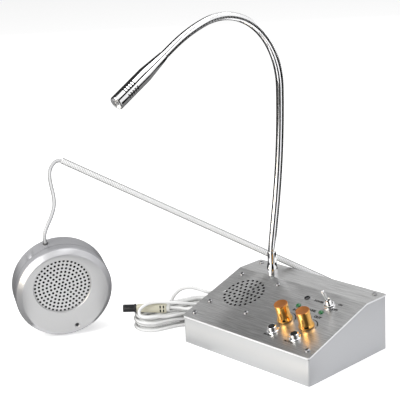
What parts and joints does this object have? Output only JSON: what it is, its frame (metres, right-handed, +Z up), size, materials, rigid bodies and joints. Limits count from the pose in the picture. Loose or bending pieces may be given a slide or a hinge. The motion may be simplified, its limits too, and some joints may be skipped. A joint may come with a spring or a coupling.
{
  "type": "teller window intercom",
  "caption": "Two-way counter intercom: sloped desk unit with gooseneck microphone, volume knobs, mute buttons and toggle, and a round customer speaker on an armoured conduit.",
  "frame": {"origin": "centre of the desk unit's underside, on the counter", "axes": "+X to the right along the desk unit's front edge as its user sees it, +Y to the back, +Z up"},
  "size_m": [0.3501, 0.2935, 0.3592],
  "materials": {
    "brushed_steel_plate": "brushed, semi-gloss",
    "silver_paint": "satin",
    "bright_chrome": "polished",
    "neck_chrome": "satin",
    "conduit_steel": "satin",
    "gold_metal": "polished",
    "zinc_steel": "satin",
    "brass_metal": "satin",
    "speaker_silver": "satin",
    "grille_silver": "satin",
    "black_rubber": "matt",
    "grey_rubber": "matt",
    "white_pvc": "gloss",
    "lead_pvc": "gloss",
    "ivory_plastic": "satin",
    "black_plastic": "matt",
    "board_green": "satin",
    "part_black": "matt",
    "cone_paper": "matt",
    "ferrite": "matt",
    "green_lens": "gloss",
    "dark_lens": "gloss"
  },
  "bodies": {
    "desk_unit": {"case_shell": "silver_paint", "base_plate": "silver_paint", "base_screws": "zinc_steel", "top_plate": "brushed_steel_plate", "panel_screws": "bright_chrome", "loudspeaker_gasket": "black_rubber", "loudspeaker_frame": "zinc_steel", "loudspeaker_cone": "cone_paper", "loudspeaker_magnet": "ferrite", "loudspeaker_nuts": "zinc_steel", "main_board": "board_green", "board_components": "part_black", "board_standoffs": "brass_metal", "board_screws": "zinc_steel", "inside_volume_pot": "zinc_steel", "outside_volume_pot": "zinc_steel", "volume_pot_nuts": "zinc_steel", "inside_mute_switch": "bright_chrome", "outside_mute_switch": "bright_chrome", "toggle_body": "bright_chrome", "toggle_nut": "bright_chrome", "talk_lamps": "green_lens", "power_lamp_bezel": "bright_chrome", "power_lamp": "dark_lens", "neck_ferrule": "bright_chrome", "locknuts": "zinc_steel", "neck_lower": "neck_chrome", "conduit_gland": "bright_chrome", "power_gland": "grey_rubber", "conduit_flex": "conduit_steel", "neck_low_flex": "neck_chrome", "power_lead": "white_pvc", "power_lead_hank": "white_pvc", "plug_lead": "white_pvc", "plug_body": "ivory_plastic", "plug_barrel": "black_plastic"},
    "inside_volume_dial": {"inside_volume_knob": "gold_metal", "inside_volume_shaft": "zinc_steel"},
    "outside_volume_dial": {"outside_volume_knob": "gold_metal", "outside_volume_shaft": "zinc_steel"},
    "inside_mute_key": {"inside_mute_button": "bright_chrome"},
    "outside_mute_key": {"outside_mute_button": "bright_chrome"},
    "power_toggle": {"toggle_lever": "bright_chrome"},
    "neck_stem": {"neck_middle": "neck_chrome", "neck_mid_flex": "neck_chrome"},
    "neck_bow": {"neck_upper": "neck_chrome", "neck_mic_flex": "neck_chrome"},
    "microphone": {"mic_sleeve": "bright_chrome", "mic_capsule": "black_plastic"},
    "customer_speaker": {"conduit_arm": "conduit_steel", "speaker_lead": "lead_pvc", "round_speaker_front": "speaker_silver", "round_speaker_grille": "grille_silver", "round_speaker_housing": "speaker_silver", "round_speaker_driver": "zinc_steel", "round_speaker_cone": "cone_paper", "round_speaker_magnet": "ferrite", "round_speaker_mic": "black_plastic", "round_speaker_grommet": "grey_rubber", "round_speaker_screws": "zinc_steel"}
  },
  "joints": [
    {"name": "inside_volume_turn", "type": "hinge", "parent": "desk_unit", "child": "inside_volume_dial", "pos_m": [0.0248, -0.02417, 0.04372], "axis": [0, -0.3069, 0.9517], "range_deg": [-150, 150]},
    {"name": "outside_volume_turn", "type": "hinge", "parent": "desk_unit", "child": "outside_volume_dial", "pos_m": [0.0545, -0.02417, 0.04372], "axis": [0, -0.3069, 0.9517], "range_deg": [-150, 150]},
    {"name": "inside_mute_press", "type": "slide", "parent": "desk_unit", "child": "inside_mute_key", "axis": [0, 0.3069, -0.9517], "range_m": [0, 0.0018], "stiffness_N_per_m": 900},
    {"name": "outside_mute_press", "type": "slide", "parent": "desk_unit", "child": "outside_mute_key", "axis": [0, 0.3069, -0.9517], "range_m": [0, 0.0018], "stiffness_N_per_m": 900},
    {"name": "power_flick", "type": "hinge", "parent": "desk_unit", "child": "power_toggle", "pos_m": [0.0558, 0.00922, 0.05975], "axis": [1, 0, 0], "range_deg": [-26, 0]},
    {"name": "neck_sway", "type": "hinge", "parent": "desk_unit", "child": "neck_stem", "pos_m": [-0.0486, 0.04334, 0.1205], "axis": [0, 1, 0], "range_deg": [-15, 15], "deforming": ["neck_low_flex"]},
    {"name": "neck_nod", "type": "hinge", "parent": "neck_stem", "child": "neck_bow", "pos_m": [-0.0486, 0.05849, 0.25845], "axis": [1, 0, 0], "range_deg": [-20, 20], "deforming": ["neck_mid_flex"]},
    {"name": "mic_tilt", "type": "hinge", "parent": "neck_bow", "child": "microphone", "pos_m": [-0.0486, -0.10031, 0.33058], "axis": [1, 0, 0], "range_deg": [-25, 25], "deforming": ["neck_mic_flex"]},
    {"name": "conduit_swing", "type": "hinge", "parent": "desk_unit", "child": "customer_speaker", "pos_m": [0.0404, 0.074, 0.01585], "axis": [0, 0, 1], "range_deg": [-25, 0], "deforming": ["conduit_flex"]}
  ]
}
